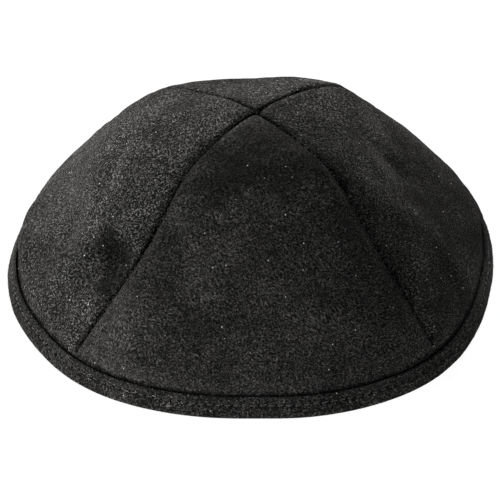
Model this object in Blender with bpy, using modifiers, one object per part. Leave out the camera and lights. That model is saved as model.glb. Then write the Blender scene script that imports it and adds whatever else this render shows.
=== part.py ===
"""A kippah skullcap: four gore panels of faux suede and a folded band round the rim.

Blender 4.5, metres, +Z up. The cap rests on its rim at z = 0 and its front panel faces -Y.
"""

import math

import bmesh
import bpy
from mathutils import Vector

# Sizes of the whole cap
RIM_RADIUS = 0.085  # from the middle to the rim's outside, at the middle of a panel
CROWN_HEIGHT = 0.0645  # the outside at the crown, where the seams cross
PLAN_POWER = 2.24  # 2 is a round rim, more squares it towards the seams
CROWN_RIGHT = 0.0019  # the seams cross a little to the right of the middle
CROWN_FORWARD = 0.0003

# Cloth
PANEL_WALL = 0.0016
BAND_LEAF = 0.0010
BAND_FOLD = 0.0012
CLEARANCE = 0.0003

# The folded band
BAND_HEIGHT = 0.0069
BAND_LEAN = 24  # how far the band leans in from upright, in degrees
FOLD_CORNER = 0.0006

# The seams between panels
SEAM_RISE = 0.0009  # how far the cloth away from the seams stands over their profile
SEAM_FADE = 0.25  # the share of the way out over which a seam deepens
SEAM_SHARPNESS = 1.2  # 1 is a sharp valley, 2 a rounded one
TUCK_LENGTH = 0.0050  # the height over which a panel draws in to go under the band
PUFF_POWER = 2.2
DENT_CALM = 0.0016  # how far from a seam a dent fades

# Mesh fineness
PANEL_COLUMNS = 22
PANEL_ROWS = 22
TUCK_ROWS = 3
BAND_STEPS = 104
EDGE_CROWDING = 0.72  # 0 spaces the columns evenly, 1 crowds them at the seams
TIP_RADIUS = 0.0005  # where a panel's cloth begins, from the crossing of the seams
TIP_MERGE = 0.0001
SLOPE_STEP = 0.01  # half the share of the way out over which a slope is measured

# The crown-to-band profile along a seam: the share of the way out from the crown to the band,
# and the share of the height above the band
PROFILE_COLUMNS = ("out", "height")
PROFILE = (
    (0.00, 1.000),
    (0.13, 0.985),
    (0.26, 0.961),
    (0.38, 0.922),
    (0.50, 0.825),
    (0.62, 0.650),
    (0.74, 0.466),
    (0.87, 0.254),
    (1.00, 0.000),
)

# Where the rim departs from its even shape: a direction in degrees, and how much further out it lies
# there, as a share of the rim's radius
RIM_COLUMNS = ("azimuth", "extra")
RIM = (
    (0, 0.004),
    (14, 0.008),
    (40, 0.000),
    (90, 0.000),
    (130, 0.000),
    (155, -0.010),
    (170, 0.000),
    (185, 0.013),
    (197, 0.012),
    (213, 0.002),
    (230, 0.008),
    (250, 0.002),
    (270, 0.000),
    (282, 0.008),
    (300, 0.013),
    (310, 0.016),
    (322, 0.008),
    (333, -0.005),
    (345, -0.009),
    (353, -0.002),
    (360, 0.004),
)

# Each seam: the direction of its foot in degrees, how far it bows anticlockwise half-way down, how deep it
# sinks and over what width, as shares of the rim's radius, and the share of the way out where it starts
# to deepen from its faint share
SEAM_COLUMNS = ("name", "foot", "bow", "sink", "width", "start", "faint")
SEAMS = (
    ("front_left", -135.4, 6.5, 0.014, 0.011, 0.35, 0.55),
    ("front_right", -43.8, -2.0, 0.019, 0.026, 0.34, 0.20),
    ("back_right", 50.0, -8.0, 0.014, 0.014, 0.20, 0.80),
    ("back_left", 132.0, 9.5, 0.009, 0.012, 0.20, 0.50),
)

# Each panel, from one seam anticlockwise to the next, and how far its middle stands over the seam
# profile at four heights from the crown down, as shares of the rim's radius
PANEL_TABLE_COLUMNS = ("name", "seam", "high", "upper", "lower", "low")
PANELS = (
    ("panel_front", 0, 0.004, 0.002, 0.002, -0.002),
    ("panel_right", 1, -0.018, -0.044, -0.054, -0.024),
    ("panel_back", 2, -0.026, -0.050, -0.050, -0.026),
    ("panel_left", 3, 0.013, 0.026, 0.031, -0.046),
)
PUFF_OUTS = (0.2, 0.4, 0.6, 0.8)

# Soft dents and folds. across runs from -1 at a panel's first seam to 1 at its next, out is the share
# of the way from the crown to the band. Width, length and depth are shares of the rim's radius; turn is
# the angle of the length from straight down, in degrees. A negative depth is a ridge.
DENT_COLUMNS = ("panel", "across", "out", "width", "length", "turn", "depth")
DENTS = (
    ("panel_left", 0.55, 0.80, 0.11, 0.15, 30, -0.028),
    ("panel_left", 0.84, 0.74, 0.06, 0.12, 60, 0.038),
    ("panel_left", 0.20, 0.56, 0.05, 0.10, 45, 0.014),
    ("panel_left", -0.80, 0.32, 0.06, 0.18, 0, 0.008),
    ("panel_left", -0.10, 0.88, 0.03, 0.25, 90, 0.008),
    ("panel_front", -0.50, 0.34, 0.14, 0.22, 0, 0.012),
    ("panel_front", -0.74, 0.86, 0.14, 0.20, 0, -0.045),
    ("panel_front", -0.80, 0.61, 0.05, 0.08, 50, 0.016),
    ("panel_front", 0.60, 0.62, 0.11, 0.24, 0, -0.010),
    ("panel_right", -0.52, 0.66, 0.12, 0.24, 0, -0.022),
    ("panel_right", -0.28, 0.56, 0.08, 0.20, 0, -0.016),
    ("panel_right", 0.08, 0.58, 0.06, 0.20, 0, 0.022),
    ("panel_right", -0.66, 0.90, 0.10, 0.08, 0, 0.010),
    ("panel_back", -0.60, 0.36, 0.12, 0.16, 0, -0.010),
    ("panel_back", 0.20, 0.36, 0.10, 0.16, 0, 0.007),
)

CLOTH_COLOUR = (0.018, 0.017, 0.017, 1.0)
CLOTH_ROUGHNESS = 0.95


def clear_scene():
    for old in list(bpy.data.objects):
        bpy.data.objects.remove(old, do_unlink=True)


def named(columns, rows):
    """The rows of a table as dictionaries."""
    return [dict(zip(columns, row)) for row in rows]


def smooth_read(pairs, place):
    """Reads a table of (place, value) pairs on a smooth curve that doesn't swing past its values."""
    last = len(pairs) - 1
    slopes = [(pairs[i + 1][1] - pairs[i][1]) / (pairs[i + 1][0] - pairs[i][0]) for i in range(last)]

    def tangent(i):
        if i == 0:
            return slopes[0]
        if i == last:
            return slopes[-1]
        before = slopes[i - 1]
        after = slopes[i]
        if before * after <= 0:
            return 0.0
        return 2 * before * after / (before + after)

    place = min(max(place, pairs[0][0]), pairs[last][0])
    i = max(k for k in range(last) if pairs[k][0] <= place)
    width = pairs[i + 1][0] - pairs[i][0]
    u = (place - pairs[i][0]) / width
    return (
        pairs[i][1] * (1 + 2 * u) * (1 - u) ** 2
        + tangent(i) * width * u * (1 - u) ** 2
        + pairs[i + 1][1] * u * u * (3 - 2 * u)
        - tangent(i + 1) * width * u * u * (1 - u)
    )


def ease(value):
    """0 below 0, 1 above 1, and a smooth rise between."""
    value = min(max(value, 0.0), 1.0)
    return value * value * (3 - 2 * value)


def rim_reach(azimuth):
    """The distance from the middle to the outside of the rim, in the given direction."""
    across = abs(math.cos(azimuth)) ** PLAN_POWER
    deep = abs(math.sin(azimuth)) ** PLAN_POWER
    pairs = [(row["azimuth"], row["extra"]) for row in named(RIM_COLUMNS, RIM)]
    extra = smooth_read(pairs, math.degrees(azimuth) % 360)
    return RIM_RADIUS * ((across + deep) ** (-1 / PLAN_POWER) + extra)


def band_reach(azimuth, height):
    """The outside of the band, which leans in as it rises."""
    return rim_reach(azimuth) - height * math.tan(math.radians(BAND_LEAN))


def profile_height(out):
    """The height of a seam, at a share of the way from the crown to the band."""
    pairs = [(row["out"], row["height"]) for row in named(PROFILE_COLUMNS, PROFILE)]
    return BAND_HEIGHT + (CROWN_HEIGHT - BAND_HEIGHT) * smooth_read(pairs, out)


def profile_normal(out):
    """The seam profile's outward direction, as its parts away from the middle and up."""
    low = max(out - SLOPE_STEP, 0.0)
    high = min(out + SLOPE_STEP, 1.0)
    fall = (profile_height(low) - profile_height(high)) / ((high - low) * RIM_RADIUS)
    size = math.hypot(fall, 1.0)
    return fall / size, 1.0 / size


class Panel:
    """One gore's outside surface, from across = -1 to 1 between its seams and out = 0 to 1 down it."""

    def __init__(self, row):
        first = named(SEAM_COLUMNS, SEAMS)[row["seam"]]
        second = named(SEAM_COLUMNS, SEAMS)[(row["seam"] + 1) % len(SEAMS)]
        self.name = row["name"]
        self.feet = [math.radians(first["foot"]), math.radians(second["foot"])]
        if self.feet[1] < self.feet[0]:
            self.feet[1] += 2 * math.pi
        self.bows = [math.radians(first["bow"]), math.radians(second["bow"])]
        self.seams = ((first, 1), (second, -1))
        swells = [row[name] for name in ("high", "upper", "lower", "low")]
        self.puffs = [(0.0, 0.0)] + list(zip(PUFF_OUTS, swells)) + [(1.0, 0.0)]
        self.dents = [dent for dent in named(DENT_COLUMNS, DENTS) if dent["panel"] == self.name]

    def azimuth(self, across, out):
        share = (across + 1) / 2
        foot = self.feet[0] * (1 - share) + self.feet[1] * share
        bow = self.bows[0] * (1 - share) + self.bows[1] * share
        return foot + bow * 4 * out * (1 - out)

    def half_width(self, out):
        return out * RIM_RADIUS * (self.feet[1] - self.feet[0]) / 2

    def seam_fall(self, seam, side, across, out):
        """How deep the cloth falls into one of its two seams."""
        strength = seam["faint"] + (1 - seam["faint"]) * ease((out - seam["start"]) / SEAM_FADE)
        away = (1 + side * across) * self.half_width(out) / RIM_RADIUS
        return seam["sink"] * RIM_RADIUS * strength * math.exp(-((away / seam["width"]) ** SEAM_SHARPNESS))

    def swell(self, across, out):
        """How far the cloth stands over the seam profile, measured along its normal."""
        middle = 1 - abs(across) ** PUFF_POWER
        swell = smooth_read(self.puffs, out) * RIM_RADIUS * middle + SEAM_RISE
        for seam, side in self.seams:
            swell -= self.seam_fall(seam, side, across, out)
        calm = 1 - math.exp(-(1 - abs(across)) * self.half_width(out) / DENT_CALM)
        for dent in self.dents:
            swell -= dent["depth"] * RIM_RADIUS * self.dent_share(dent, across, out) * calm
        return swell

    def dent_share(self, dent, across, out):
        sideways = across * self.half_width(out) - dent["across"] * self.half_width(dent["out"])
        down = (out - dent["out"]) * math.hypot(RIM_RADIUS, CROWN_HEIGHT)
        turn = math.radians(dent["turn"])
        along = down * math.cos(turn) + sideways * math.sin(turn)
        beside = sideways * math.cos(turn) - down * math.sin(turn)
        far = (along / (dent["length"] * RIM_RADIUS)) ** 2 + (beside / (dent["width"] * RIM_RADIUS)) ** 2
        return math.exp(-far)

    def tuck(self, height):
        """How far the cloth is drawn in to pass behind the band's outer leaf."""
        return (BAND_LEAF + CLEARANCE) * (1 - ease((height - BAND_HEIGHT) / TUCK_LENGTH))

    def point(self, across, out):
        """A point on the outside, above the band."""
        azimuth = self.azimuth(across, out)
        sideways, up = profile_normal(out)
        calm = ease((1 - out) * RIM_RADIUS / TUCK_LENGTH)
        swell = self.swell(across, out) * calm
        height = profile_height(out) + swell * up
        reach = out * band_reach(azimuth, BAND_HEIGHT) + swell * sideways - self.tuck(height)
        reach = max(reach, 0.0)
        fade = (1 - out) ** 2
        x = reach * math.cos(azimuth) + CROWN_RIGHT * fade
        y = reach * math.sin(azimuth) - CROWN_FORWARD * fade
        return Vector((x, y, height))

    def tucked_point(self, across, share):
        """A point on the stretch inside the band, from its top line at 0 to the cloth's edge at 1."""
        azimuth = self.azimuth(across, 1.0)
        edge = BAND_FOLD + CLEARANCE + PANEL_WALL * math.sin(math.radians(BAND_LEAN))
        height = BAND_HEIGHT + (edge - BAND_HEIGHT) * share
        reach = band_reach(azimuth, height) - BAND_LEAF - CLEARANCE
        return Vector((reach * math.cos(azimuth), reach * math.sin(azimuth), height))


def column_places(count):
    """Places across a panel, from -1 to 1, that crowd towards the seams."""
    places = []
    for k in range(count + 1):
        even = 2 * k / count - 1
        crowded = math.sin(even * math.pi / 2)
        places.append(even * (1 - EDGE_CROWDING) + crowded * EDGE_CROWDING)
    return places


def inset(across, half_width):
    """Draws the seam edges in by half the clearance between neighbouring panels."""
    room = max(half_width, CLEARANCE / 2)
    return across * (1 - CLEARANCE / 2 / room)


def panel_mesh(panel):
    """The panel's outside as an open grid, with its tip drawn together at the crown."""
    mesh = bpy.data.meshes.new(panel.name)
    grid = bmesh.new()
    rows = PANEL_ROWS + TUCK_ROWS
    bmesh.ops.create_grid(grid, x_segments=PANEL_COLUMNS, y_segments=rows, size=1)
    columns = column_places(PANEL_COLUMNS)
    first_out = TIP_RADIUS / RIM_RADIUS
    for vertex in grid.verts:
        across = columns[round((vertex.co.x + 1) / 2 * PANEL_COLUMNS)]
        row = round((vertex.co.y + 1) / 2 * rows)
        out = min(first_out + (1 - first_out) * row / PANEL_ROWS, 1.0)
        across = inset(across, panel.half_width(out))
        if row <= PANEL_ROWS:
            vertex.co = panel.point(across, out)
        else:
            vertex.co = panel.tucked_point(across, (row - PANEL_ROWS) / TUCK_ROWS)
    bmesh.ops.remove_doubles(grid, verts=grid.verts, dist=TIP_MERGE)
    bmesh.ops.reverse_faces(grid, faces=grid.faces)
    grid.to_mesh(mesh)
    grid.free()
    return mesh


def cloth_material(name):
    material = bpy.data.materials.new(name)
    material.use_nodes = True
    shader = material.node_tree.nodes["Principled BSDF"]
    shader.inputs["Base Color"].default_value = CLOTH_COLOUR
    shader.inputs["Roughness"].default_value = CLOTH_ROUGHNESS
    shader.inputs["Metallic"].default_value = 0.0
    return material


def add_object(name, mesh, collection):
    mesh.materials.append(cloth_material(name + "_suede"))
    mesh.shade_smooth()
    new = bpy.data.objects.new(name, mesh)
    collection.objects.link(new)
    return new


def add_panel(row, collection):
    """A gore of cloth: its outside surface, thickened inwards."""
    panel = Panel(row)
    new = add_object(panel.name, panel_mesh(panel), collection)
    wall = new.modifiers.new("cloth", "SOLIDIFY")
    wall.thickness = PANEL_WALL
    wall.offset = -1.0
    wall.use_even_offset = True
    return new


def band_section():
    """The band's section: each corner as its distance inwards from the outside, and its height."""
    inner = BAND_LEAF + CLEARANCE + PANEL_WALL / math.cos(math.radians(BAND_LEAN)) + CLEARANCE
    return (
        (FOLD_CORNER, 0.0),
        (inner + BAND_LEAF - FOLD_CORNER, 0.0),
        (inner + BAND_LEAF, FOLD_CORNER),
        (inner + BAND_LEAF, BAND_HEIGHT),
        (inner, BAND_HEIGHT),
        (inner, BAND_FOLD),
        (BAND_LEAF, BAND_FOLD),
        (BAND_LEAF, BAND_HEIGHT),
        (0.0, BAND_HEIGHT),
        (0.0, FOLD_CORNER),
    )


def add_band(collection):
    """The band: its section turned round the middle, then each point set on the rim's own outline."""
    mesh = bpy.data.meshes.new("rim_band")
    ring = bmesh.new()
    corners = [ring.verts.new((RIM_RADIUS - inwards, 0.0, height)) for inwards, height in band_section()]
    edges = [ring.edges.new((corners[k - 1], corners[k])) for k in range(len(corners))]
    bmesh.ops.spin(
        ring,
        geom=corners + edges,
        cent=(0, 0, 0),
        axis=(0, 0, 1),
        angle=2 * math.pi,
        steps=BAND_STEPS,
        use_merge=True,
    )
    for vertex in ring.verts:
        azimuth = math.atan2(vertex.co.y, vertex.co.x)
        inwards = RIM_RADIUS - vertex.co.xy.length
        reach = band_reach(azimuth, vertex.co.z) - inwards
        vertex.co.x = reach * math.cos(azimuth)
        vertex.co.y = reach * math.sin(azimuth)
    bmesh.ops.recalc_face_normals(ring, faces=ring.faces)
    ring.to_mesh(mesh)
    ring.free()
    return add_object("rim_band", mesh, collection)


def main():
    clear_scene()
    collection = bpy.data.collections.new("kippah")
    bpy.context.scene.collection.children.link(collection)
    for row in named(PANEL_TABLE_COLUMNS, PANELS):
        add_panel(row, collection)
    add_band(collection)


main()
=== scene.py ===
"""The looks of a kippah skullcap: four gores of faux suede, a stitched rim band, a pale floor and soft light.

Everything is in metres in the frame's own axes: +Z up, the front panel facing -Y.
"""

import math

import bpy
import numpy as np
from mathutils import Matrix, Vector, noise


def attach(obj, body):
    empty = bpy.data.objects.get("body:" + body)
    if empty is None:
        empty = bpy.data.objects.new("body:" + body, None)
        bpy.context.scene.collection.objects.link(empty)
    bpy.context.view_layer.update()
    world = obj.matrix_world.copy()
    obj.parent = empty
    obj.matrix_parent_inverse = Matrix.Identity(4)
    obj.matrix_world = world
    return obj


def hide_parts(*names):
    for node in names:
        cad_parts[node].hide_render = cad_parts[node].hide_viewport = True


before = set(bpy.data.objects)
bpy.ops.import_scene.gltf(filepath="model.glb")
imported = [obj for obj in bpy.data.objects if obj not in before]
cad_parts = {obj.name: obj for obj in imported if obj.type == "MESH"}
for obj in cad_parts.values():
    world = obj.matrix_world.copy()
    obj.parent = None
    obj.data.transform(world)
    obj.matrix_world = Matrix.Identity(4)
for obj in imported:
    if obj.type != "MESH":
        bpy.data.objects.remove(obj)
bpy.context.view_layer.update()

# Sizes of the whole cap, as in the part's source. The cloth's softest forms go a little further here: a few
# rows of the rim's plan and of the dents, the lean at the foot, one seam's bend, and how deep the seams lie
# in their upper half.
RIM_RADIUS = 0.085
CROWN_HEIGHT = 0.0645
PLAN_POWER = 2.24
CROWN_SHIFT = (0.0019, -0.0003)
PANEL_WALL = 0.0016
BAND_LEAF = 0.0010
BAND_FOLD = 0.0012
CLEARANCE = 0.0003
BAND_HEIGHT = 0.0069
BAND_LEAN = math.radians(24)
SEAM_RISE = 0.0009
SEAM_FADE = 0.25
SEAM_SHARPNESS = 1.2
TUCK_LENGTH = 0.0050
PUFF_POWER = 2.2
SLOPE_STEP = 0.01
TINY = 1e-15

# How far the rim stands out past its plan's curve, as a share of its radius
RIM_COLUMNS = ("azimuth", "extra")
RIM = (
    (0, 0.004),
    (14, 0.008),
    (40, 0.000),
    (90, 0.000),
    (130, 0.000),
    (150, -0.010),
    (163, -0.016),
    (174, 0.001),
    (185, 0.014),
    (197, 0.012),
    (213, 0.002),
    (230, 0.008),
    (250, 0.002),
    (270, 0.000),
    (282, 0.008),
    (300, 0.013),
    (310, 0.016),
    (322, 0.008),
    (333, -0.005),
    (345, -0.009),
    (353, -0.002),
    (360, 0.004),
)

# How far the cloth leans out over the band in each direction, as a share of the rim's radius, and where
# down the cap it leans most and over what share of the way
FOOT_COLUMNS = ("azimuth", "bulge")
FOOT = (
    (0, 0.024),
    (10, 0.026),
    (20, 0.006),
    (38, 0.000),
    (144, 0.000),
    (158, 0.014),
    (172, 0.044),
    (184, 0.042),
    (198, 0.000),
    (340, 0.000),
    (360, 0.024),
)
FOOT_OUT = 0.92
FOOT_REACH = 0.07

# The run from the crown to the band, then each seam's course, depth and the shade painted along it, each
# gore's swell and the dents.
# Angles are in degrees, and depths, widths and lengths are shares of the rim's radius.
PROFILE_COLUMNS = ("out", "height")
PROFILE = (
    (0.00, 1.000),
    (0.13, 0.985),
    (0.26, 0.961),
    (0.38, 0.922),
    (0.50, 0.825),
    (0.62, 0.650),
    (0.74, 0.466),
    (0.87, 0.254),
    (1.00, 0.000),
)
# A seam's "shade" column is how far the shade painted along it reaches, and its "dark" column is how dark
# that painted shade is.
SEAM_COLUMNS = ("name", "foot", "bow", "sink", "width", "start", "faint", "crown", "shade", "dark", "bend")
SEAMS = (
    ("front_left", -135.4, 6.5, 0.014, 0.011, 0.35, 0.55, 0.55, 0.0095, 1.0, 1.3),
    ("front_right", -43.8, -2.0, 0.018, 0.028, 0.36, 0.50, 0.80, 0.0130, 0.90, 0.0),
    ("back_right", 50.0, -8.0, 0.014, 0.014, 0.20, 0.80, 0.80, 0.009, 0.90, 0.0),
    ("back_left", 132.0, 9.5, 0.009, 0.012, 0.20, 0.60, 0.85, 0.019, 0.62, 0.0),
)
CROWN_FADE = 0.28
BEND_OUT = 0.64
BEND_REACH = 0.20
PANEL_TABLE_COLUMNS = ("name", "seam", "high", "upper", "lower", "low")
PANELS = (
    ("panel_front", 0, 0.004, 0.002, 0.002, -0.002),
    ("panel_right", 1, -0.018, -0.044, -0.054, -0.024),
    ("panel_back", 2, -0.026, -0.050, -0.050, -0.026),
    ("panel_left", 3, 0.013, 0.026, 0.031, -0.046),
)
PUFF_OUTS = (0.2, 0.4, 0.6, 0.8)
DENT_COLUMNS = ("panel", "across", "out", "width", "length", "turn", "depth")
DENTS = (
    ("panel_left", 0.55, 0.80, 0.11, 0.15, 30, -0.028),
    ("panel_left", 0.84, 0.74, 0.06, 0.12, 60, 0.038),
    ("panel_left", 0.20, 0.56, 0.038, 0.11, 45, 0.021),
    ("panel_left", -0.80, 0.32, 0.06, 0.18, 0, 0.008),
    ("panel_left", -0.10, 0.88, 0.03, 0.25, 90, 0.013),
    ("panel_front", -0.50, 0.34, 0.14, 0.22, 0, 0.012),
    ("panel_front", -0.74, 0.86, 0.14, 0.20, 0, -0.045),
    ("panel_front", -0.80, 0.61, 0.05, 0.08, 50, 0.016),
    ("panel_front", 0.60, 0.62, 0.11, 0.24, 0, -0.010),
    ("panel_right", -0.52, 0.66, 0.12, 0.24, 0, -0.022),
    ("panel_right", -0.28, 0.56, 0.08, 0.20, 0, -0.016),
    ("panel_right", 0.08, 0.61, 0.08, 0.15, 0, 0.018),
    ("panel_right", -0.66, 0.90, 0.10, 0.08, 0, 0.010),
    ("panel_back", -0.60, 0.36, 0.12, 0.16, 0, -0.010),
    ("panel_back", 0.20, 0.36, 0.10, 0.16, 0, 0.007),
)

# The cloth pieces' own fineness: the grid of a panel, its edges and the roll into each seam
PANEL_COLUMNS = 240
PANEL_ROWS = 200
TUCK_ROWS = 6
TIP_RADIUS = 0.00015
EDGE_CROWDING = 0.75
SEAM_GAP = -0.00006
ROLL_DEPTH = 0.0009
ROLL_WIDTH = 0.0006
DENT_CALM = 0.0016

# Painted shade: the dark lines painted along each seam and along the foot of the cloth, where shade lies in
# the grooves
SEAM_SHADE_END_POWER = 30
FOOT_SHADE = 0.00045

# Low relief, and the ragged edges of the painted shade lines: how strong each is, how far apart its bumps are
# and its seed
NOISE_COLUMNS = ("name", "strength", "length", "seed")
NOISES = (
    ("panel_fine", 0.00016, 0.0042, 1),
    ("panel_broad", 0.00030, 0.011, 2),
    ("seam_pucker", 0.00025, 0.005, 3),
    ("band_broad", 0.00018, 0.006, 5),
    ("band_fine", 0.00010, 0.0022, 6),
    ("seam_shade", 1.5, 0.0016, 7),
    ("foot_edge", 0.0004, 0.0016, 8),
)
NOISE_SHIFT = 17.3
PUCKER_REACH = 0.004

# The band: its section, and the sewn channel, the ridge at its lip and the pits between stitches, and the
# shade painted in the channel, in the pits and on the lip's inner side
BAND_STEPS = 960
BAND_BEND = 0.0011
FACE_ROWS = 16
TOP_STEPS = 8
BEND_STEPS = 8
INNER_STEPS = 5
INNER_TOP_STEPS = 6
CHANNEL_DEPTH = 0.00028
CHANNEL_WIDTH = 0.0007
CHANNEL_SHADE = 0.25
RIDGE_HEIGHT = 0.00030
RIDGE_WIDTH = 0.0007
RIDGE_DROP = 0.0012
PIT_DEPTH = 0.00050
PIT_LENGTH = 0.00075
PIT_WIDTH = 0.00060
PIT_SHADE = 0.85
LIP_SHADE = 1.4
LIP_SHADE_FALL = 3

# The topstitch
STITCH_DROP = 0.0024
STITCH_HEIGHT = BAND_HEIGHT - STITCH_DROP
STITCH_PITCH = 0.0030
STITCH_STEPS = 9
STITCH_SHARE = 0.40
STITCH_TILT = 0.00014
STITCH_SINK = 0.00022
STITCH_DIVE = 0.00040
STITCH_DIVE_POWER = 4
THREAD_RADIUS = 0.00021
THREAD_TAPER = 0.5
THREAD_TAPER_POWER = 6
THREAD_SIDES = 6
RIM_SAMPLES = 7201

# Loose fibres, each kind on its belt of the band, or on the panels' edges where it has no belt. A belt lies
# between two heights and two directions in degrees.
FIBRE_COLUMNS = ("name", "material", "seed", "count", "length", "lift", "radius")
FIBRES = (
    ("rim_stitch_lint", "lint_grey", 4, 420, 0.0008, 0.6, 0.00005),
    ("rim_lint_tuft", "lint_pale", 5, 34, 0.0010, 0.4, 0.00007),
    ("rim_lip_nap", "nap_grey", 9, 1700, 0.0009, 0.4, 0.00006),
    ("seam_nap", "nap_grey", 11, 300, 0.0009, 0.5, 0.00006),
    ("rim_edge_fuzz", "lint_grey", 7, 1600, 0.00045, 1.0, 0.00004),
)
BELT_COLUMNS = ("name", "low", "high", "first", "last")
BELTS = (
    ("rim_stitch_lint", STITCH_HEIGHT - 0.0005, STITCH_HEIGHT + 0.0005, 0, 360),
    ("rim_lint_tuft", STITCH_HEIGHT - 0.0012, STITCH_HEIGHT + 0.0010, 230, 256),
    ("rim_lip_nap", BAND_HEIGHT - 0.0009, BAND_HEIGHT - 0.0002, 0, 360),
    ("rim_edge_fuzz", 0.0003, 0.0012, 0, 360),
)
ROOT_DEPTH = 0.0001
SEAM_ROOTS = (0.002, 0.9)
SEAM_ROOT_AWAY = (0.0002, 0.0007)
ROOT_STEP_DOWN = 0.01
ROOT_STEP_SIDEWAYS = 0.98
FIBRE_STEPS = 5
FIBRE_SIDES = 3
FIBRE_SIDEWAYS = 0.8
FIBRE_RISE = (-0.3, 0.8)
FIBRE_RISE_SHARE = 0.5
FIBRE_BEND = 0.35
FIBRE_DROOP = 0.3
FIBRE_SHORTEST = 0.5
FIBRE_TAPER = 0.7
FIBRE_UP_TILT = 0.01

# Camera and picture
PICTURE_PIXELS = 500
SENSOR_MM = 36.0
FOCAL_PIXELS = 2902.8
CAMERA_DISTANCE = 1.02
CAMERA_ELEVATION = math.radians(37.75)
CAMERA_ROLL = math.radians(-0.39)
CAMERA_TARGET = Vector((-0.00068, 0.0, 0.0051))
CAMERA_NEAR = 0.05
CAMERA_FAR = 50

# Lights, each from a direction in degrees: azimuth anticlockwise from +X, and elevation
LIGHT_DISTANCE = 1.8
LIGHT_SIZE = 0.6
WORLD_STRENGTH = 0.12
LIGHT_COLUMNS = ("name", "azimuth", "elevation", "power")
LIGHTS = (
    ("left", 200, 14, 118),
    ("back_left", 125, 14, 80),
    ("back", 78, 16, 125),
    ("right", 306, 12, 26),
)

# The floor, a light table, so that no shadow falls on it
FLOOR_REACH = 4.0
FLOOR_DROP = 0.00005
FLOOR_GLOW = 0.97

# Each panel's nap: how light it is, the range and contrast of its strokes, and their turn in degrees, stretch
# and width
NAP_COLUMNS = ("name", "strength", "low", "high", "contrast", "turn", "stretch", "grain")
# The panels' strengths are partly painted light and shade, as copies of one suede lit and shaded panel by
# panel: the left panel, where the light falls, is lightest and the front is darkest. They are partly the
# nap's own tone.
NAPS = (
    ("suede_front", 0.655, 0.15, 0.95, 2.4, 28, 1.6, 0.00043),
    ("suede_right", 0.78, 0.28, 0.85, 2.8, 28, 1.6, 0.00040),
    ("suede_back", 0.80, 0.30, 0.82, 2.8, 28, 1.6, 0.00043),
    ("suede_left", 0.84, 0.32, 0.80, 2.9, -40, 1.5, 0.00039),
    ("suede_band", 0.80, 0.15, 0.95, 3.2, 28, 1.6, 0.00043),
)

# Patches of painted light and shade on the nap: the middle of each patch on a panel, its radius as a share of
# the rim's, and its tone
PATCH_COLUMNS = ("panel", "across", "out", "radius", "tone")
LIGHT_AND_SHADE_PATCHES = (
    ("panel_front", 0.00, 0.26, 0.24, 0.50),
    ("panel_front", 0.83, 0.27, 0.16, 0.72),
    ("panel_front", 0.95, 0.42, 0.12, 0.62),
    ("panel_front", 0.88, 0.57, 0.11, 0.78),
    ("panel_front", 0.95, 0.80, 0.10, 0.62),
    ("panel_front", 0.25, 0.62, 0.18, 0.74),
    ("panel_front", 0.50, 0.90, 0.14, 1.22),
    ("panel_front", -0.64, 0.37, 0.17, 0.54),
    ("panel_front", -0.78, 0.61, 0.045, 0.66),
    ("panel_front", 0.10, 0.90, 0.14, 0.84),
    ("panel_front", -0.80, 0.94, 0.22, 1.45),
    ("panel_front", 0.80, 0.97, 0.22, 1.35),
    ("panel_left", 0.72, 0.70, 0.08, 0.42),
    ("panel_left", 0.86, 0.72, 0.09, 0.80),
    ("panel_left", 0.90, 0.62, 0.06, 0.66),
    ("panel_left", 0.90, 0.81, 0.07, 0.50),
    ("panel_left", 0.82, 0.72, 0.12, 0.36),
    ("panel_left", 0.90, 0.79, 0.10, 0.36),
    ("panel_left", 0.90, 0.28, 0.22, 1.85),
    ("panel_left", 0.30, 0.12, 0.14, 1.35),
    ("panel_left", -0.50, 0.28, 0.20, 1.42),
    ("panel_left", -0.60, 0.86, 0.16, 1.22),
    ("panel_left", 0.05, 0.50, 0.16, 1.40),
    ("panel_left", 0.55, 0.50, 0.30, 1.22),
    ("panel_left", 0.38, 0.96, 0.22, 0.78),
    ("panel_left", 0.86, 1.00, 0.12, 1.30),
    ("panel_left", 0.58, 0.79, 0.08, 0.78),
    ("panel_right", 0.85, 0.32, 0.20, 1.70),
    ("panel_right", 0.40, 0.36, 0.14, 1.25),
    ("panel_right", 0.94, 0.36, 0.07, 1.60),
    ("panel_right", 0.60, 0.66, 0.12, 0.76),
    ("panel_right", -0.80, 0.66, 0.20, 0.80),
    ("panel_right", 0.10, 0.86, 0.42, 0.42),
    ("panel_right", -0.60, 0.92, 0.18, 0.62),
    ("panel_right", -0.80, 0.87, 0.12, 0.70),
    ("panel_right", -0.10, 0.97, 0.14, 0.58),
    ("panel_right", -0.05, 0.70, 0.16, 0.68),
    ("panel_right", -0.25, 0.76, 0.12, 0.74),
    ("panel_back", 0.00, 0.15, 0.25, 1.32),
)
PATCH_WANDER_LENGTH = 0.02
PATCH_WANDER = 0.25
PATCH_INNER = 0.2
PATCH_OUTER = 1.15

# The faux suede: the sway, cells and strokes of its nap, its brushed unevenness, its lint, and its colours
SWAY_LENGTH = 0.011
SWAY_REACH = 0.008
CELL_LENGTH = 0.00080
CELL_RANGE = (0.1, 0.75)
STROKE_SHARE = 0.7
STROKE_DETAIL = 1.5
STROKE_ROUGHNESS = 0.6
STROKE_DISTORTION = 0.6
STROKE_RANGE = (0.3, 0.72)
NOISE_RANGE = (0.3, 0.7)
BRUSH_LENGTH = 0.012
BRUSH_DETAIL = 3.0
BRUSH_ROUGHNESS = 0.55
BRUSH_SPREAD = 0.3
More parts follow.
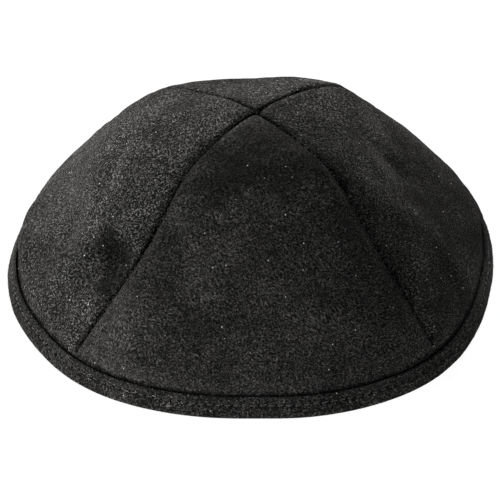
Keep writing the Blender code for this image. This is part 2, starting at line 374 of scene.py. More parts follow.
# How much of the colour is left where the shade painted along the seams, the foot and the band's stitches is
# darkest
LIGHT_LEFT_IN_PAINTED_SHADE = 0.08
NAP_BUMP = 0.00042
SPECK_SPACING = 0.0041
SPECK_SIZE = 0.058
SPECKS_LEFT_OUT = 0.25
SPECK_SCATTER = 7.0
SUEDE_ROUGHNESS = 0.9
SHEEN_WEIGHT = 0.06
SHEEN_ROUGHNESS = 0.45
NAP_DARK = (0.0028, 0.0028, 0.0027, 1)
NAP_LIGHT = (0.074, 0.072, 0.069, 1)
SPECK_COLOUR = (0.20, 0.195, 0.19, 1)
SHEEN_TINT = (0.30, 0.29, 0.28, 1)
BLACK = (0, 0, 0, 1)
WHITE = (1, 1, 1, 1)

# The plain materials
PLAIN_COLUMNS = ("name", "red", "green", "blue", "roughness")
PLAINS = (
    ("thread_black", 0.0022, 0.0022, 0.0021, 0.9),
    ("lint_grey", 0.13, 0.126, 0.118, 0.8),
    ("lint_pale", 0.24, 0.235, 0.225, 0.8),
    ("nap_grey", 0.022, 0.0215, 0.021, 0.9),
    ("floor_white", 0.04, 0.04, 0.04, 0.9),
)


def named(columns, rows):
    """The rows of a table as dictionaries."""
    return [dict(zip(columns, row)) for row in rows]


def smooth_read(pairs, place):
    """Reads a table of (place, value) pairs on a smooth curve that doesn't swing past its values."""
    places = np.array([pair[0] for pair in pairs])
    values = np.array([pair[1] for pair in pairs])
    slopes = np.diff(values) / np.diff(places)
    before, after = slopes[:-1], slopes[1:]
    same = before * after > 0
    total = np.where(same, before + after, 1.0)
    middle = np.where(same, 2 * before * after / total, 0.0)
    tangents = np.concatenate([slopes[:1], middle, slopes[-1:]])
    place = np.clip(place, places[0], places[-1])
    i = np.clip(np.searchsorted(places, place, side="right") - 1, 0, len(slopes) - 1)
    width = places[i + 1] - places[i]
    u = (place - places[i]) / width
    return (
        values[i] * (1 + 2 * u) * (1 - u) ** 2
        + tangents[i] * width * u * (1 - u) ** 2
        + values[i + 1] * u * u * (3 - 2 * u)
        - tangents[i + 1] * width * u * u * (1 - u)
    )


def ease(value):
    """0 below 0, 1 above 1, and a smooth rise between."""
    value = np.clip(value, 0.0, 1.0)
    return value * value * (3 - 2 * value)


def rim_reach(azimuth):
    """How far the rim stands from the middle in each direction."""
    across = np.abs(np.cos(azimuth)) ** PLAN_POWER
    deep = np.abs(np.sin(azimuth)) ** PLAN_POWER
    pairs = [(row["azimuth"], row["extra"]) for row in named(RIM_COLUMNS, RIM)]
    extra = smooth_read(pairs, np.degrees(azimuth) % 360)
    return RIM_RADIUS * ((across + deep) ** (-1 / PLAN_POWER) + extra)


def band_reach(azimuth, height):
    """How far the band's outer leaf stands from the middle, as it leans inwards on its way up."""
    return rim_reach(azimuth) - height * math.tan(BAND_LEAN)


def foot_bulge(azimuth, out):
    """How far the cloth leans out over the band."""
    pairs = [(row["azimuth"], row["bulge"]) for row in named(FOOT_COLUMNS, FOOT)]
    bulge = smooth_read(pairs, np.degrees(azimuth) % 360)
    return RIM_RADIUS * bulge * np.exp(-(((out - FOOT_OUT) / FOOT_REACH) ** 2))


def profile_height(out):
    """The cap's height at each share of the way from its crown to its band."""
    pairs = [(row["out"], row["height"]) for row in named(PROFILE_COLUMNS, PROFILE)]
    return BAND_HEIGHT + (CROWN_HEIGHT - BAND_HEIGHT) * smooth_read(pairs, out)


def profile_normal(out):
    """The direction straight out of the profile, as its sideways and its upward part."""
    low = np.maximum(out - SLOPE_STEP, 0.0)
    high = np.minimum(out + SLOPE_STEP, 1.0)
    fall = (profile_height(low) - profile_height(high)) / ((high - low) * RIM_RADIUS)
    size = np.hypot(fall, 1.0)
    return fall / size, 1.0 / size


class Panel:
    """One gore's outside surface, from across = -1 to 1 between its seams and out = 0 to 1 down it."""

    def __init__(self, row):
        first = named(SEAM_COLUMNS, SEAMS)[row["seam"]]
        second = named(SEAM_COLUMNS, SEAMS)[(row["seam"] + 1) % len(SEAMS)]
        self.name = row["name"]
        self.feet = [math.radians(first["foot"]), math.radians(second["foot"])]
        if self.feet[1] < self.feet[0]:
            self.feet[1] += 2 * math.pi
        self.bows = [math.radians(first["bow"]), math.radians(second["bow"])]
        self.bends = [math.radians(first["bend"]), math.radians(second["bend"])]
        self.seams = [(first, 1), (second, -1)]
        swells = [row[name] for name in ("high", "upper", "lower", "low")]
        self.puffs = [(0.0, 0.0)] + list(zip(PUFF_OUTS, swells)) + [(1.0, 0.0)]
        self.dents = [dent for dent in named(DENT_COLUMNS, DENTS) if dent["panel"] == self.name]

    def azimuth(self, across, out):
        """The direction of each place, between the two seams' bowed runs."""
        share = (across + 1) / 2
        foot = self.feet[0] * (1 - share) + self.feet[1] * share
        bow = self.bows[0] * (1 - share) + self.bows[1] * share
        bend = self.bends[0] * (1 - share) + self.bends[1] * share
        return foot + bow * 4 * out * (1 - out) + bend * np.exp(-(((out - BEND_OUT) / BEND_REACH) ** 2))

    def half_width(self, out):
        """Half the gore's width at each place down it."""
        return out * RIM_RADIUS * (self.feet[1] - self.feet[0]) / 2

    def seam_strength(self, seam, out):
        """How deep a seam lies at each place down it: its crown share, then its faint share, then 1."""
        lower = (1 - seam["faint"]) * ease((out - seam["start"]) / SEAM_FADE)
        upper = (seam["crown"] - seam["faint"]) * (1 - ease(out / CROWN_FADE))
        return seam["faint"] + lower + upper

    def seam_share(self, across, out, column="width", length=None):
        """How far into each seam a place lies, from 0 to 1, over a column of SEAMS or a given length."""
        pairs = []
        for seam, side in self.seams:
            away = np.maximum(1 + side * across, 0.0) * self.half_width(out)
            fade = length or seam[column] * RIM_RADIUS
            share = np.exp(-((away / fade) ** SEAM_SHARPNESS)) * self.seam_strength(seam, out)
            pairs.append((seam, share))
        return pairs

    def swell(self, across, out):
        """How far the cloth stands out from the profile: its gore's swell, less its seams and dents."""
        middle = 1 - np.abs(across) ** PUFF_POWER
        from_seam = np.maximum(1 - np.abs(across), 0.0) * self.half_width(out)
        swell = smooth_read(self.puffs, out) * RIM_RADIUS * middle + SEAM_RISE
        for seam, share in self.seam_share(across, out):
            swell = swell - seam["sink"] * RIM_RADIUS * share
        for seam, share in self.seam_share(across, out, length=ROLL_WIDTH):
            swell = swell - ROLL_DEPTH * share
        calm = 1 - np.exp(-from_seam / DENT_CALM)
        for dent in self.dents:
            swell = swell - dent["depth"] * RIM_RADIUS * self.dent_share(dent, across, out) * calm
        return swell

    def dent_share(self, dent, across, out):
        """How far into a dent each place lies, from 0 to 1."""
        sideways = across * self.half_width(out) - dent["across"] * self.half_width(dent["out"])
        down = (out - dent["out"]) * math.hypot(RIM_RADIUS, CROWN_HEIGHT)
        turn = math.radians(dent["turn"])
        along = down * math.cos(turn) + sideways * math.sin(turn)
        beside = sideways * math.cos(turn) - down * math.sin(turn)
        far = (along / (dent["length"] * RIM_RADIUS)) ** 2 + (beside / (dent["width"] * RIM_RADIUS)) ** 2
        return np.exp(-far)

    def tuck(self, height):
        """How far the cloth draws in above the band, to pass behind its outer leaf."""
        return (BAND_LEAF + CLEARANCE) * (1 - ease((height - BAND_HEIGHT) / TUCK_LENGTH))

    def points(self, across, out):
        """Points on the outside, above the band."""
        azimuth = self.azimuth(across, out)
        sideways, up = profile_normal(out)
        calm = ease((1 - out) * RIM_RADIUS / TUCK_LENGTH)
        swell = self.swell(across, out) * calm
        height = profile_height(out) + swell * up
        reach = out * band_reach(azimuth, BAND_HEIGHT) + swell * sideways - self.tuck(height)
        reach = np.maximum(reach + foot_bulge(azimuth, out) * calm, 0.0)
        fade = (1 - out) ** 2
        x = reach * np.cos(azimuth) + CROWN_SHIFT[0] * fade
        y = reach * np.sin(azimuth) + CROWN_SHIFT[1] * fade
        return np.stack([x, y, height + 0 * across], axis=-1)

    def tucked_points(self, across, share):
        """Points on the stretch inside the band, from its top line at 0 to the cloth's edge at 1."""
        azimuth = self.azimuth(across, 1.0)
        edge = BAND_FOLD + CLEARANCE + PANEL_WALL * math.sin(BAND_LEAN)
        height = BAND_HEIGHT + (edge - BAND_HEIGHT) * share
        reach = band_reach(azimuth, height) - BAND_LEAF - CLEARANCE
        x = reach * np.cos(azimuth)
        y = reach * np.sin(azimuth)
        return np.stack([x, y, height + 0 * across], axis=-1)


def grid_normals(points):
    """The outward normals of a grid whose rows go down the cap and whose columns go anticlockwise."""
    normals = np.cross(np.gradient(points, axis=0), np.gradient(points, axis=1))
    sizes = np.linalg.norm(normals, axis=-1, keepdims=True)
    return normals / np.maximum(sizes, TINY)


def noise_at(points, name):
    """Smooth noise at each point, with the strength, length and seed that NOISES gives."""
    row = next(row for row in named(NOISE_COLUMNS, NOISES) if row["name"] == name)
    flat = points.reshape(-1, 3) / row["length"] + row["seed"] * NOISE_SHIFT
    values = np.array([noise.noise(Vector(point)) for point in flat])
    return row["strength"] * values.reshape(points.shape[:-1])


def mark(mesh, name, values):
    """Keeps a number at each vertex for the material, 0 where no value is given."""
    padded = np.zeros(len(mesh.vertices), dtype=np.float32)
    padded[: values.size] = values.ravel()
    mesh.attributes.new(name, "FLOAT", "POINT").data.foreach_set("value", padded)


def walled_mesh(name, outer, inner):
    """A closed cloth wall from a fine outer grid and an inner grid with every second row and column."""
    rows, columns = outer.shape[0] - 1, outer.shape[1] - 1
    outer_ids = np.arange((rows + 1) * (columns + 1)).reshape(rows + 1, columns + 1)
    inner_shape = (rows // 2 + 1, columns // 2 + 1)
    inner_ids = outer_ids.size + np.arange(inner_shape[0] * inner_shape[1]).reshape(inner_shape)
    faces = quads_of(outer_ids) + quads_of(inner_ids[:, ::-1])
    borders = (
        (outer_ids[0, ::-1], inner_ids[0, ::-1]),
        (outer_ids[-1], inner_ids[-1]),
        (outer_ids[:, 0], inner_ids[:, 0]),
        (outer_ids[::-1, -1], inner_ids[::-1, -1]),
    )
    for fine, coarse in borders:
        for k in range(len(coarse) - 1):
            corners = [coarse[k], coarse[k + 1], fine[2 * k + 2], fine[2 * k + 1], fine[2 * k]]
            faces.append([int(corner) for corner in corners])
    vertices = np.concatenate([outer.reshape(-1, 3), inner.reshape(-1, 3)])
    mesh = bpy.data.meshes.new(name)
    mesh.from_pydata(vertices.tolist(), [], faces)
    mesh.update()
    mesh.shade_smooth()
    return mesh


def quads_of(ids):
    """The faces of a grid of vertex numbers."""
    quads = np.stack([ids[:-1, :-1], ids[1:, :-1], ids[1:, 1:], ids[:-1, 1:]], axis=-1)
    return quads.reshape(-1, 4).tolist()


def crowded(count):
    """Places from -1 to 1 that crowd towards both ends."""
    even = np.linspace(-1, 1, count + 1)
    return even * (1 - EDGE_CROWDING) + np.sin(even * math.pi / 2) * EDGE_CROWDING


def panel_piece(row, material):
    """One gore as a cloth wall, with its puckers and shade painted as dark lines along its seams and foot."""
    panel = Panel(row)
    outs = np.linspace(TIP_RADIUS / RIM_RADIUS, 1.0, PANEL_ROWS + 1)[:, None]
    across = crowded(PANEL_COLUMNS)[None, :]
    half = panel.half_width(outs)
    across = across * (1 - SEAM_GAP / 2 / half)
    body = panel.points(across, outs)
    shares = (np.arange(1, TUCK_ROWS + 1) / TUCK_ROWS)[:, None]
    hem = panel.tucked_points(across[-1:], shares)
    smooth = np.concatenate([body, hem])
    normals = grid_normals(smooth)
    from_seam = np.maximum(1 - np.abs(across), 0.0) * panel.half_width(outs)
    calm = ease((1 - outs) * RIM_RADIUS / TUCK_LENGTH) * (1 - np.exp(-from_seam / ROLL_WIDTH))
    relief = noise_at(body, "panel_fine") * calm
    relief += noise_at(body, "panel_broad") * calm
    relief += noise_at(body, "seam_pucker") * np.exp(-from_seam / PUCKER_REACH) * calm
    relief = np.concatenate([relief, np.zeros((TUCK_ROWS, relief.shape[1]))])
    outer = smooth + normals * relief[..., None]
    inner = (smooth - normals * PANEL_WALL)[::2, ::2]
    mesh = walled_mesh(row["name"] + "_cloth", outer, inner)
    # Painted shade: the colour is darkened along each seam and at the foot of the cloth above the band, and
    # fully on the hem inside the band. The mark "deep" carries this painted shade to the material.
    seam_shade = sum(seam["dark"] * share for seam, share in panel.seam_share(across, outs, "shade"))
    seam_shade = seam_shade * (1 - outs ** SEAM_SHADE_END_POWER) * (1 + noise_at(body, "seam_shade"))
    from_foot = (1 - outs) * RIM_RADIUS + noise_at(body, "foot_edge")
    foot_shade = np.exp(-((from_foot / FOOT_SHADE) ** 2))
    shade = np.maximum(seam_shade, foot_shade)
    mark(mesh, "deep", np.concatenate([shade, np.ones((TUCK_ROWS, shade.shape[1]))]))
    return add_piece(mesh, material, row["name"])


def add_piece(mesh, material, replaced=None):
    """Puts a mesh in the scene as a piece of the cap, in place of a solid where one is named."""
    mesh.materials.append(material)
    piece = bpy.data.objects.new(mesh.name, mesh)
    bpy.context.scene.collection.objects.link(piece)
    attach(piece, "root")
    if replaced:
        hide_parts(replaced)
    return piece


def band_profile():
    """The band's section as (inwards, height, relief share), outside first from its top."""
    inner = BAND_LEAF + CLEARANCE + PANEL_WALL / math.cos(BAND_LEAN) + CLEARANCE
    outer_end = inner + BAND_LEAF
    top_bend = BAND_LEAF / 2
    top = BAND_HEIGHT - top_bend
    points = []
    for k in range(TOP_STEPS + 1):
        turn = math.pi * k / TOP_STEPS
        points.append((top_bend + top_bend * math.cos(turn), top + top_bend * math.sin(turn), k / TOP_STEPS))
    for height in np.linspace(top, BAND_BEND, FACE_ROWS)[1:]:
        points.append((0.0, float(height), 1.0))
    for k in range(1, BEND_STEPS + 1):
        turn = math.pi / 2 * k / BEND_STEPS
        inwards, height = BAND_BEND * (1 - math.cos(turn)), BAND_BEND * (1 - math.sin(turn))
        points.append((inwards, height, 1 - k / BEND_STEPS))
    points.append((outer_end - BAND_BEND, 0.0, 0.0))
    for k in range(1, INNER_STEPS + 1):
        turn = math.pi / 2 * k / INNER_STEPS
        inwards = outer_end - BAND_BEND * (1 - math.sin(turn))
        points.append((inwards, BAND_BEND * (1 - math.cos(turn)), 0.0))
    points.append((outer_end, BAND_HEIGHT / 2, 0.0))
    for k in range(INNER_TOP_STEPS + 1):
        turn = math.pi * k / INNER_TOP_STEPS
        inwards = outer_end - top_bend + top_bend * math.cos(turn)
        points.append((inwards, top + top_bend * math.sin(turn), 0.0))
    points.append((inner, BAND_FOLD, 0.0))
    points.append((BAND_LEAF, BAND_FOLD, 0.0))
    return points


def stitch_azimuths():
    """Directions evenly spaced along the rim, one for each stitch."""
    turn = np.linspace(0, 2 * math.pi, RIM_SAMPLES)
    reach = rim_reach(turn)
    x, y = reach * np.cos(turn), reach * np.sin(turn)
    run = np.concatenate([[0], np.cumsum(np.hypot(np.diff(x), np.diff(y)))])
    count = round(run[-1] / STITCH_PITCH)
    return np.interp(np.arange(count) * run[-1] / count, run, turn), run[-1] / count


def face_directions(azimuth):
    """The directions straight out of the band's leaning outer leaf."""
    out = np.stack([np.cos(azimuth), np.sin(azimuth), 0 * azimuth], axis=-1) * math.cos(BAND_LEAN)
    out[..., 2] = math.sin(BAND_LEAN)
    return out


def band_piece(material):
    """The folded band with its sewn channel, its lip's ridge and a pit at the end of each stitch, with shade
    painted into the channel, the pits and the inner side of the lip.
    """
    profile = np.array(band_profile())
    turns = np.linspace(0, 2 * math.pi, BAND_STEPS + 1)[:-1]
    inwards, height, share = (profile[:, k][None, :] for k in range(3))
    angle = turns[:, None]
    reach = band_reach(angle, height) - inwards
    points = np.stack([reach * np.cos(angle), reach * np.sin(angle), height + 0 * angle], axis=-1)
    azimuths, pitch = stitch_azimuths()
    place = np.interp(turns, np.append(azimuths, 2 * math.pi), np.arange(len(azimuths) + 1))
    from_hole = np.abs(place - np.round(place)) * pitch
    from_line = height - STITCH_HEIGHT
    from_ridge = height - BAND_HEIGHT + RIDGE_DROP
    channel = CHANNEL_DEPTH * np.exp(-((from_line / CHANNEL_WIDTH) ** 2))
    ridge = RIDGE_HEIGHT * np.exp(-((from_ridge / RIDGE_WIDTH) ** 2))
    pit = PIT_DEPTH * np.exp(-((from_hole[:, None] / PIT_LENGTH) ** 2 + (from_line / PIT_WIDTH) ** 2))
    relief = ridge - (channel + pit)
    relief = relief + noise_at(points, "band_broad") + noise_at(points, "band_fine")
    relief = relief * share
    points = points + face_directions(angle) * relief[..., None]
    points[..., 2] = np.maximum(points[..., 2], 0.0)
    ids = np.arange(points.shape[0] * points.shape[1]).reshape(points.shape[:2])
    ids = np.concatenate([ids, ids[:1]])
    ids = np.concatenate([ids, ids[:, :1]], axis=1)
    mesh = bpy.data.meshes.new("rim_band_cloth")
    mesh.from_pydata(points.reshape(-1, 3).tolist(), [], quads_of(ids.T))
    mesh.update()
    mesh.shade_smooth()
    # Painted shade: the inner side of the lip, the sewn channel and the pits are painted darker through the
    # mark "deep".
    at_lip = height > BAND_HEIGHT - BAND_LEAF
    lip_shade = np.where(at_lip, ease(LIP_SHADE - LIP_SHADE_FALL * share), 0.0) + 0 * angle
    sewn_shade = pit / PIT_DEPTH * PIT_SHADE + channel / CHANNEL_DEPTH * CHANNEL_SHADE
    mark(mesh, "deep", np.maximum(lip_shade, sewn_shade))
    return add_piece(mesh, material, "rim_band")


def band_face(azimuth, height, proud):
    """Points on the band's outer leaf, and the directions straight out of it."""
    reach = band_reach(azimuth, height)
    out = face_directions(azimuth)
    points = np.stack([reach * np.cos(azimuth), reach * np.sin(azimuth), height + 0 * azimuth], axis=-1)
    return points + out * proud[..., None], out


def strands(name, paths, ups, radii, material, sides):
    """Many thin tubes in one mesh: paths and ups are (strand, step, xyz), radii (strand, step)."""
    tangents = np.gradient(paths, axis=1)
    tangents /= np.linalg.norm(tangents, axis=-1, keepdims=True)
    across = np.cross(tangents, ups)
    across /= np.linalg.norm(across, axis=-1, keepdims=True)
    over = np.cross(across, tangents)
    turn = np.arange(sides) * 2 * math.pi / sides
    ring = across[:, :, None] * np.cos(turn)[:, None] + over[:, :, None] * np.sin(turn)[:, None]
    points = paths[:, :, None] + ring * radii[:, :, None, None]
    count, steps = paths.shape[:2]
    ids = np.arange(count * steps * sides).reshape(count, steps, sides)
    around = np.roll(ids, -1, axis=2)
    faces = np.stack([ids[:, :-1], ids[:, 1:], around[:, 1:], around[:, :-1]], axis=-1)
    faces = faces.reshape(-1, 4).tolist()
    faces += ids[:, 0].tolist() + ids[:, -1, ::-1].tolist()
    mesh = bpy.data.meshes.new(name)
    mesh.from_pydata(points.reshape(-1, 3).tolist(), [], faces)
    mesh.update()
    mesh.shade_smooth()
    return add_piece(mesh, material)


def topstitch(material):
    """One bowed length of thread for each stitch, which dives into the pits at its ends."""
    azimuths, pitch = stitch_azimuths()
    step = np.linspace(-1, 1, STITCH_STEPS)[None, :]
    reach = rim_reach(azimuths)[:, None]
    centre = azimuths[:, None] + pitch / 2 / reach
    azimuth = centre + step * pitch * STITCH_SHARE / reach
    height = STITCH_HEIGHT + step * STITCH_TILT
    proud = -STITCH_SINK - STITCH_DIVE * np.abs(step) ** STITCH_DIVE_POWER + 0 * azimuth
    points, out = band_face(azimuth, height + 0 * azimuth, proud)
    taper = THREAD_TAPER * np.abs(step) ** THREAD_TAPER_POWER
    radii = THREAD_RADIUS * (1 - taper) + 0 * azimuth
    strands("rim_topstitch", points, out, radii, material, THREAD_SIDES)


def fibres(name, material, dice, roots, length, lift, radius):
    """Short loose fibres from their roots: the points, and the directions off the cloth and along it."""
    base, out, along = roots
    count = len(base)
    up = np.array([0.0, 0.0, 1.0])
    side = dice.normal(0, 1.0, count)[:, None] * along
    rise = up * dice.uniform(*FIBRE_RISE, count)[:, None]
    heading = out * lift + side * FIBRE_SIDEWAYS + rise * FIBRE_RISE_SHARE
    heading /= np.linalg.norm(heading, axis=-1, keepdims=True)
    bend = dice.normal(0, FIBRE_BEND, (count, 1)) * along + dice.normal(0, FIBRE_DROOP, (count, 1)) * up
    step = np.linspace(0, 1, FIBRE_STEPS)[None, :, None]
    size = (length * dice.uniform(FIBRE_SHORTEST, 1.0, count))[:, None, None]
    paths = base[:, None] + size * (heading[:, None] * step + bend[:, None] * step * step)
    paths[..., 2] = np.maximum(paths[..., 2], radius)
    radii = radius * (1 - FIBRE_TAPER * step[..., 0]) + np.zeros((count, 1))
    ups = np.repeat(out[:, None], FIBRE_STEPS, axis=1) + FIBRE_UP_TILT * along[:, None]
    strands(name, paths, ups, radii, material, FIBRE_SIDES)


def belt_roots(dice, count, belt):
    """Roots on the band's outer leaf, between a belt's two heights and two directions in degrees."""
    azimuth = dice.uniform(math.radians(belt["first"]), math.radians(belt["last"]), count)
    height = dice.uniform(belt["low"], belt["high"], count)
    base, out = band_face(azimuth, height, 0 * azimuth - ROOT_DEPTH)
    along = np.stack([-np.sin(azimuth), np.cos(azimuth), 0 * azimuth], axis=-1)
    return base, out, along


def seam_roots(dice, count):
    """Roots on the edges of every panel, for nap that lies across the seams."""
    bases, outs, alongs = [], [], []
    for row in named(PANEL_TABLE_COLUMNS, PANELS):
        panel = Panel(row)
        out = np.sqrt(dice.uniform(*SEAM_ROOTS, count))
        edge = dice.choice([-1.0, 1.0], count)
        across = edge * (1 - dice.uniform(*SEAM_ROOT_AWAY, count) / panel.half_width(out))
        base = panel.points(across, out)
        down = panel.points(across, out + ROOT_STEP_DOWN) - base
        sideways = panel.points(across * ROOT_STEP_SIDEWAYS, out) - base
        off = np.cross(down, sideways * -edge[:, None])
        bases.append(base)
        outs.append(off / np.linalg.norm(off, axis=-1, keepdims=True))
        alongs.append(down / np.linalg.norm(down, axis=-1, keepdims=True))
    return [np.concatenate(values) for values in (bases, outs, alongs)]


def fibre_pieces(materials):
    """Every piece of loose fibres, each from its own seed."""
    belts = {belt["name"]: belt for belt in named(BELT_COLUMNS, BELTS)}
    for row in named(FIBRE_COLUMNS, FIBRES):
        dice = np.random.default_rng(row["seed"])
        if row["name"] in belts:
            roots = belt_roots(dice, row["count"], belts[row["name"]])
        else:
            roots = seam_roots(dice, row["count"])
        material = materials[row["material"]]
        fibres(row["name"], material, dice, roots, row["length"], row["lift"], row["radius"])


class Graph:
    """A material's node tree, with short calls to add and join nodes."""

    def __init__(self, name):
        self.material = bpy.data.materials.new(name)
        self.material.use_nodes = True
        self.tree = self.material.node_tree
        self.shader = self.tree.nodes["Principled BSDF"]
        self.place = self.tree.nodes.new("ShaderNodeTexCoord").outputs["Object"]

    def add(self, kind, settings=None, **inputs):
        """A new node with its settings and its inputs, each a value or another node's output."""
        made = self.tree.nodes.new(kind)
        for key, value in (settings or {}).items():
            setattr(made, key, value)
        for key, value in inputs.items():
            self.put(made.inputs[key.replace("_", " ")], value)
        return made

    def put(self, socket, value):
        if isinstance(value, bpy.types.NodeSocket):
            self.tree.links.new(value, socket)
        else:
            socket.default_value = value

    def noise(self, length, detail=2.0, roughness=0.5, distortion=0.0, place=None):
        """Smooth noise with bumps about the given length apart."""
        made = self.add("ShaderNodeTexNoise", Scale=1 / length, Detail=detail, Roughness=roughness)
        made.inputs["Distortion"].default_value = distortion
        self.put(made.inputs["Vector"], place or self.place)
        return made.outputs["Fac"]

    def cells(self, length):
        """Cells about the given length across."""
        made = self.add("ShaderNodeTexVoronoi", {"feature": "F1"}, Scale=1 / length)
        self.put(made.inputs["Vector"], self.place)
        return made

    def maths(self, operation, first, second=0.0):
        made = self.tree.nodes.new("ShaderNodeMath")
        made.operation = operation
        for socket, value in zip(made.inputs, (first, second)):
            self.put(socket, value)
        return made.outputs[0]

    def span(self, value, low, high, new_low=0.0, new_high=1.0):
        """The value from low to high spread over new_low to new_high."""
        made = self.tree.nodes.new("ShaderNodeMapRange")
        for socket, given in zip(made.inputs, (value, low, high, new_low, new_high)):
            self.put(socket, given)
        return made.outputs[0]

    def mix(self, share, first, second):
        """The first colour at a share of 0, the second at 1. The numbers are a Mix node's colour sockets."""
        made = self.tree.nodes.new("ShaderNodeMix")
        made.data_type = "RGBA"
        made.clamp_factor = False
        for socket, value in ((0, share), (6, first), (7, second)):
            self.put(made.inputs[socket], value)
        return made.outputs[2]


def light_and_shade_patch_tone(g):
    """The tone of the patches of painted light and shade, as a factor that is 1 away from them."""
    tone = 1.0
    panels = {row["name"]: Panel(row) for row in named(PANEL_TABLE_COLUMNS, PANELS)}
    wander = g.noise(PATCH_WANDER_LENGTH)
    wander = g.span(wander, *NOISE_RANGE, -PATCH_WANDER, PATCH_WANDER)
    for row in named(PATCH_COLUMNS, LIGHT_AND_SHADE_PATCHES):
        middle = panels[row["panel"]].points(np.array(row["across"]), np.array(row["out"]))
        far = g.add("ShaderNodeVectorMath", {"operation": "DISTANCE"})
        g.put(far.inputs[0], g.place)
        far.inputs[1].default_value = tuple(float(v) for v in middle)
        share = g.maths("DIVIDE", far.outputs["Value"], row["radius"] * RIM_RADIUS)
        share = g.maths("ADD", share, wander)
        edge = g.tree.nodes.new("ShaderNodeMapRange")
        edge.interpolation_type = "SMOOTHERSTEP"
        for socket, given in zip(edge.inputs, (share, PATCH_INNER, PATCH_OUTER, row["tone"], 1.0)):
            g.put(socket, given)
        tone = g.maths("MULTIPLY", edge.outputs[0], tone)
    return tone


def swayed_place(g, turn, stretch):
    """The place on the cloth, turned and stretched along the nap's strokes, which sway a little."""
    sway = g.add("ShaderNodeTexNoise", Scale=1 / SWAY_LENGTH, Detail=1.0)
    g.put(sway.inputs["Vector"], g.place)
    lean = g.add("ShaderNodeVectorMath", {"operation": "MULTIPLY_ADD"})
    g.put(lean.inputs[0], sway.outputs["Color"])
    lean.inputs[1].default_value = (SWAY_REACH, SWAY_REACH, SWAY_REACH)
    g.put(lean.inputs[2], g.place)
    turned = g.add("ShaderNodeMapping", {"vector_type": "TEXTURE"})
    g.put(turned.inputs["Vector"], lean.outputs[0])
    turned.inputs["Rotation"].default_value = (0, math.radians(turn), 0)
    turned.inputs["Scale"].default_value = (stretch, 1.0, 1.0)
    return turned.outputs[0]


def specked(g, colour):
    """The colour with a few lighter specks of lint on it."""
    specks = g.cells(SPECK_SPACING)
    chance = g.maths("FRACT", g.maths("MULTIPLY", specks.outputs["Color"], SPECK_SCATTER))
    picked = g.maths("GREATER_THAN", chance, SPECKS_LEFT_OUT)
    near = g.maths("LESS_THAN", specks.outputs["Distance"], SPECK_SIZE)
    return g.mix(g.maths("MULTIPLY", picked, near), colour, SPECK_COLOUR)


def suede(name, strength, low, high, contrast, turn, stretch, grain):
    """Black faux suede: a short worm-like nap, soft brushed unevenness, patches of painted light and shade,
    shade painted along the seams, the foot and the band's stitches, and a few lighter specks of lint.
    """
    g = Graph(name)
    place = swayed_place(g, turn, stretch)
    strokes = g.noise(grain, STROKE_DETAIL, STROKE_ROUGHNESS, STROKE_DISTORTION, place)
    strokes = g.maths("MULTIPLY", g.span(strokes, *STROKE_RANGE), STROKE_SHARE)
    cells = g.span(g.cells(CELL_LENGTH).outputs["Distance"], *CELL_RANGE)
    nap = g.maths("ADD", strokes, g.maths("MULTIPLY", cells, 1 - STROKE_SHARE))
    light = g.maths("POWER", g.span(nap, low, high), contrast)
    least, most = (1 - BRUSH_SPREAD) * strength, (1 + BRUSH_SPREAD) * strength
    brushed = g.span(g.noise(BRUSH_LENGTH, BRUSH_DETAIL, BRUSH_ROUGHNESS), *NOISE_RANGE, least, most)
    # Painted light and shade: the patches make parts of the panels lighter where light falls and darker where
    # shade lies.
    tone = g.maths("MULTIPLY", brushed, light_and_shade_patch_tone(g))
    # Painted shade: where the mark "deep" is 1, the colour falls to a small share along the seams, the foot
    # and the band's lip, channel and pits.
    deep = g.add("ShaderNodeAttribute", {"attribute_name": "deep"}).outputs["Fac"]
    tone = g.maths("MULTIPLY", tone, g.span(deep, 0.0, 1.0, 1.0, LIGHT_LEFT_IN_PAINTED_SHADE))
    colour = g.mix(tone, BLACK, g.mix(light, NAP_DARK, NAP_LIGHT))
    g.put(g.shader.inputs["Base Color"], specked(g, colour))
    bump = g.add("ShaderNodeBump", Strength=1.0, Distance=NAP_BUMP, Height=nap)
    g.put(g.shader.inputs["Normal"], bump.outputs["Normal"])
    g.shader.inputs["Roughness"].default_value = SUEDE_ROUGHNESS
    g.shader.inputs["Specular IOR Level"].default_value = 0.0
    g.shader.inputs["Sheen Weight"].default_value = SHEEN_WEIGHT
    g.shader.inputs["Sheen Roughness"].default_value = SHEEN_ROUGHNESS
    g.shader.inputs["Sheen Tint"].default_value = SHEEN_TINT
    return g.material


def plain(row):
    """A material of one colour, from a row of PLAINS."""
    g = Graph(row["name"])
    g.shader.inputs["Base Color"].default_value = (row["red"], row["green"], row["blue"], 1)
    g.shader.inputs["Roughness"].default_value = row["roughness"]
    return g.material


def floor(material):
    """A plain pale floor that glows, just under the plane that the cap rests on."""
    mesh = bpy.data.meshes.new("floor")
    sides = ((-1, -1), (1, -1), (1, 1), (-1, 1))
    corners = [(x * FLOOR_REACH, y * FLOOR_REACH, -FLOOR_DROP) for x, y in sides]
    mesh.from_pydata(corners, [], [(0, 1, 2, 3)])
    shader = material.node_tree.nodes["Principled BSDF"]
    shader.inputs["Specular IOR Level"].default_value = 0.0
    shader.inputs["Emission Color"].default_value = WHITE
    shader.inputs["Emission Strength"].default_value = FLOOR_GLOW
    mesh.materials.append(material)
    made = bpy.data.objects.new("floor", mesh)
    bpy.context.scene.collection.objects.link(made)


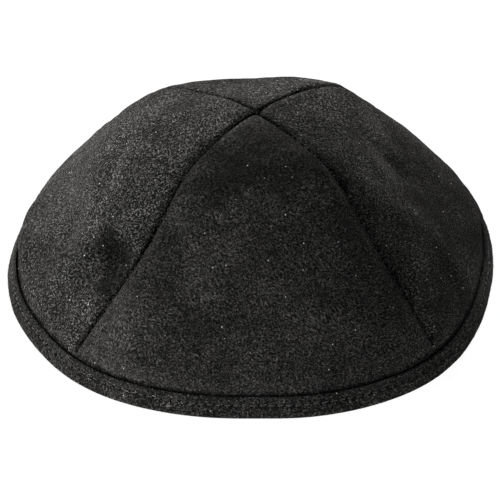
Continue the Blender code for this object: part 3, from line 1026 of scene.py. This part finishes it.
def area_light(name, azimuth, elevation, power):
    """A round soft light that shines at the cap from the given direction, in degrees."""
    a, e = math.radians(azimuth), math.radians(elevation)
    place = Vector((math.cos(a) * math.cos(e), math.sin(a) * math.cos(e), math.sin(e))) * LIGHT_DISTANCE
    data = bpy.data.lights.new(name, "AREA")
    data.shape = "DISK"
    data.size = LIGHT_SIZE
    data.energy = power
    made = bpy.data.objects.new(name, data)
    made.location = place
    made.rotation_euler = (-place).to_track_quat("-Z", "Y").to_euler()
    bpy.context.scene.collection.objects.link(made)


def light():
    """An even pale surround and the table of soft lights."""
    world = bpy.data.worlds.new("studio")
    bpy.context.scene.world = world
    world.use_nodes = True
    background = world.node_tree.nodes["Background"]
    background.inputs["Color"].default_value = WHITE
    background.inputs["Strength"].default_value = WORLD_STRENGTH
    for row in named(LIGHT_COLUMNS, LIGHTS):
        area_light(row["name"], row["azimuth"], row["elevation"], row["power"])


def camera():
    """The camera at the photograph's angle."""
    data = bpy.data.cameras.new("camera")
    data.sensor_width = SENSOR_MM
    data.lens = FOCAL_PIXELS / PICTURE_PIXELS * SENSOR_MM
    data.clip_start = CAMERA_NEAR
    data.clip_end = CAMERA_FAR
    back = Vector((0, -math.cos(CAMERA_ELEVATION), math.sin(CAMERA_ELEVATION)))
    side = Vector((1, 0, 0))
    up = back.cross(side)
    right = side * math.cos(CAMERA_ROLL) + up * math.sin(CAMERA_ROLL)
    up = up * math.cos(CAMERA_ROLL) - side * math.sin(CAMERA_ROLL)
    made = bpy.data.objects.new("camera", data)
    turn = Matrix((right, up, back)).transposed().to_4x4()
    made.matrix_world = Matrix.Translation(CAMERA_TARGET + back * CAMERA_DISTANCE) @ turn
    bpy.context.scene.collection.objects.link(made)
    bpy.context.scene.camera = made


def main():
    camera()
    cloths = [suede(**row) for row in named(NAP_COLUMNS, NAPS)]
    plains = {row["name"]: plain(row) for row in named(PLAIN_COLUMNS, PLAINS)}
    for row, cloth in zip(named(PANEL_TABLE_COLUMNS, PANELS), cloths):
        panel_piece(row, cloth)
    band_piece(cloths[-1])
    topstitch(plains["thread_black"])
    fibre_pieces(plains)
    floor(plains["floor_white"])
    light()
    bpy.context.scene.view_settings.view_transform = "Standard"


main()
